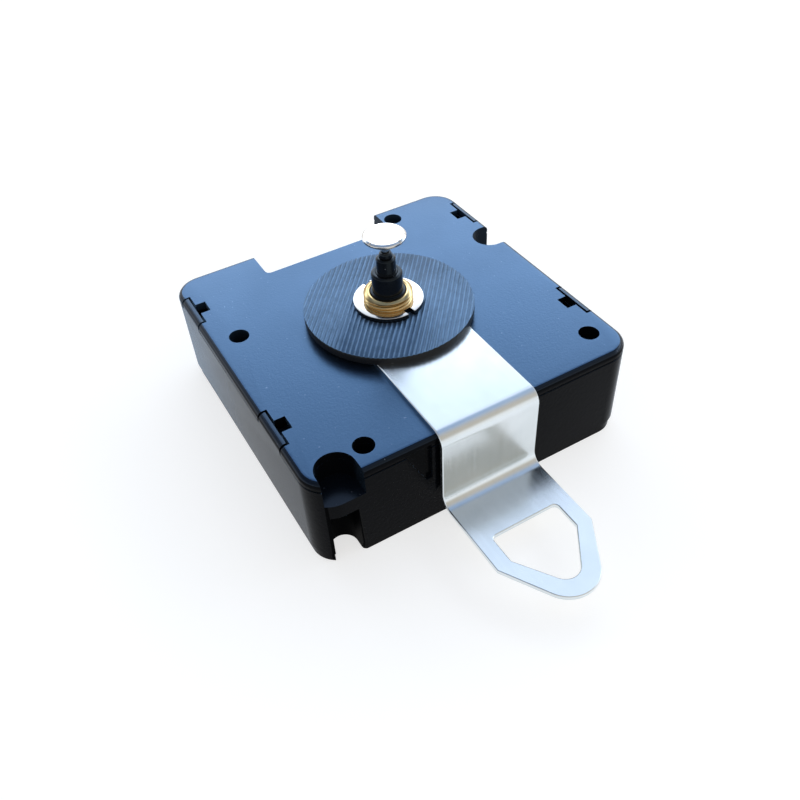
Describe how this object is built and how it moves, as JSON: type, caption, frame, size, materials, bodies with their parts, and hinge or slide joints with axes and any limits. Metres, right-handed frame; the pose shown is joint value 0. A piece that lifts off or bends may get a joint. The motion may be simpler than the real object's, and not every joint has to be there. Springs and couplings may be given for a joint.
{
  "type": "radio-controlled clock movement",
  "caption": "Square quartz clock movement with threaded bush, concentric hand shafts, ribbed washer, round nut and a bent steel hanger.",
  "frame": {"origin": "centre of the rear face, on the axis of the hand shafts", "axes": "+Z out of the dial side along the hand shafts, +Y towards twelve o'clock, where the hanger is"},
  "size_m": [0.056, 0.0807, 0.0325],
  "materials": {
    "case_black": "satin moulded ABS",
    "shaft_black": "satin moulded acetal",
    "gear_white": "moulded acetal",
    "plate_grey": "moulded plate",
    "brass": "turned",
    "chrome": "polished",
    "bracket_steel": "bright zinc plated",
    "rubber": "ribbed",
    "board_green": "solder mask",
    "chip_black": "potted",
    "copper": "enamelled wire",
    "ferrite": "sintered",
    "steel": "stamped",
    "magnet": "plated",
    "button_grey": "moulded",
    "capacitor_tan": "ceramic"
  },
  "bodies": {
    "case": {"rear_housing": "case_black", "front_cover": "case_black", "middle_plate": "plate_grey", "seconds_bridge": "plate_grey", "plate_screws": "steel", "circuit_board": "board_green", "timing_chip": "chip_black", "quartz_crystal": "steel", "capacitors": "capacitor_tan", "board_screws": "steel", "tact_domes": "steel", "ferrite_rod": "ferrite", "antenna_winding": "copper", "antenna_saddles": "plate_grey", "seconds_bobbin": "gear_white", "seconds_winding": "copper", "seconds_stator": "steel", "seconds_core": "steel", "minute_bobbin": "gear_white", "minute_winding": "copper", "minute_stator": "steel", "minute_core": "steel", "motion_stud": "steel", "threaded_bush": "brass", "round_nut": "chrome", "rubber_washer": "rubber", "hanger_bracket": "bracket_steel", "positive_contact": "steel", "negative_contact": "steel"},
    "seconds": {"seconds_wheel": "gear_white", "seconds_arbor": "shaft_black"},
    "cap": {"arbor_cap": "chrome"},
    "minute": {"minute_wheel": "shaft_black", "cannon_pinion": "gear_white"},
    "hour": {"hour_wheel": "shaft_black"},
    "motion": {"motion_wheel": "gear_white"},
    "seconds_idler": {"seconds_idler": "gear_white"},
    "seconds_rotor": {"seconds_rotor": "magnet"},
    "minute_idler": {"minute_idler": "gear_white"},
    "minute_rotor": {"minute_rotor": "magnet"},
    "reset_button": {"reset_button": "button_grey"},
    "receive_button": {"receive_button": "button_grey"}
  },
  "joints": [
    {"name": "seconds_spin", "type": "hinge", "parent": "case", "child": "seconds", "pos_m": [0, 0, 0.0045], "axis": [0, 0, -1], "continuous": true},
    {"name": "seconds_idler_spin", "type": "hinge", "parent": "case", "child": "seconds_idler", "pos_m": [0.006, 0, 0.006], "axis": [0, 0, -1], "continuous": true},
    {"name": "seconds_rotor_spin", "type": "hinge", "parent": "case", "child": "seconds_rotor", "pos_m": [0.01085, -0.0028, 0.0048], "axis": [0, 0, -1], "continuous": true},
    {"name": "minute_spin", "type": "hinge", "parent": "case", "child": "minute", "pos_m": [0, 0, 0.009], "axis": [0, 0, -1], "continuous": true},
    {"name": "minute_idler_spin", "type": "hinge", "parent": "case", "child": "minute_idler", "pos_m": [-0.00684, 0, 0.0072], "axis": [0, 0, -1], "continuous": true},
    {"name": "minute_rotor_spin", "type": "hinge", "parent": "case", "child": "minute_rotor", "pos_m": [-0.01214, -0.00306, 0.0055], "axis": [0, 0, -1], "continuous": true},
    {"name": "motion_spin", "type": "hinge", "parent": "case", "child": "motion", "pos_m": [0, -0.008, 0.0117], "axis": [0, 0, -1], "continuous": true},
    {"name": "hour_spin", "type": "hinge", "parent": "case", "child": "hour", "pos_m": [0, 0, 0.0127], "axis": [0, 0, -1], "continuous": true},
    {"name": "cap_pull", "type": "slide", "parent": "seconds", "child": "cap", "axis": [0, 0, 1], "range_m": [0, 0.02]},
    {"name": "reset_press", "type": "slide", "parent": "case", "child": "reset_button", "axis": [0, 0, 1], "range_m": [0, 0.0003], "stiffness_N_per_m": 300, "springref_m": -0.0003},
    {"name": "receive_press", "type": "slide", "parent": "case", "child": "receive_button", "axis": [0, 0, 1], "range_m": [0, 0.0003], "stiffness_N_per_m": 300, "springref_m": -0.0003}
  ],
  "couplings": [
    {"joint": "seconds_idler_spin", "follows": "seconds_spin", "ratio": -5},
    {"joint": "seconds_rotor_spin", "follows": "seconds_spin", "ratio": 30},
    {"joint": "minute_idler_spin", "follows": "minute_spin", "ratio": -8},
    {"joint": "minute_rotor_spin", "follows": "minute_spin", "ratio": 60},
    {"joint": "motion_spin", "follows": "minute_spin", "ratio": -0.33333},
    {"joint": "hour_spin", "follows": "minute_spin", "ratio": 0.083333}
  ]
}
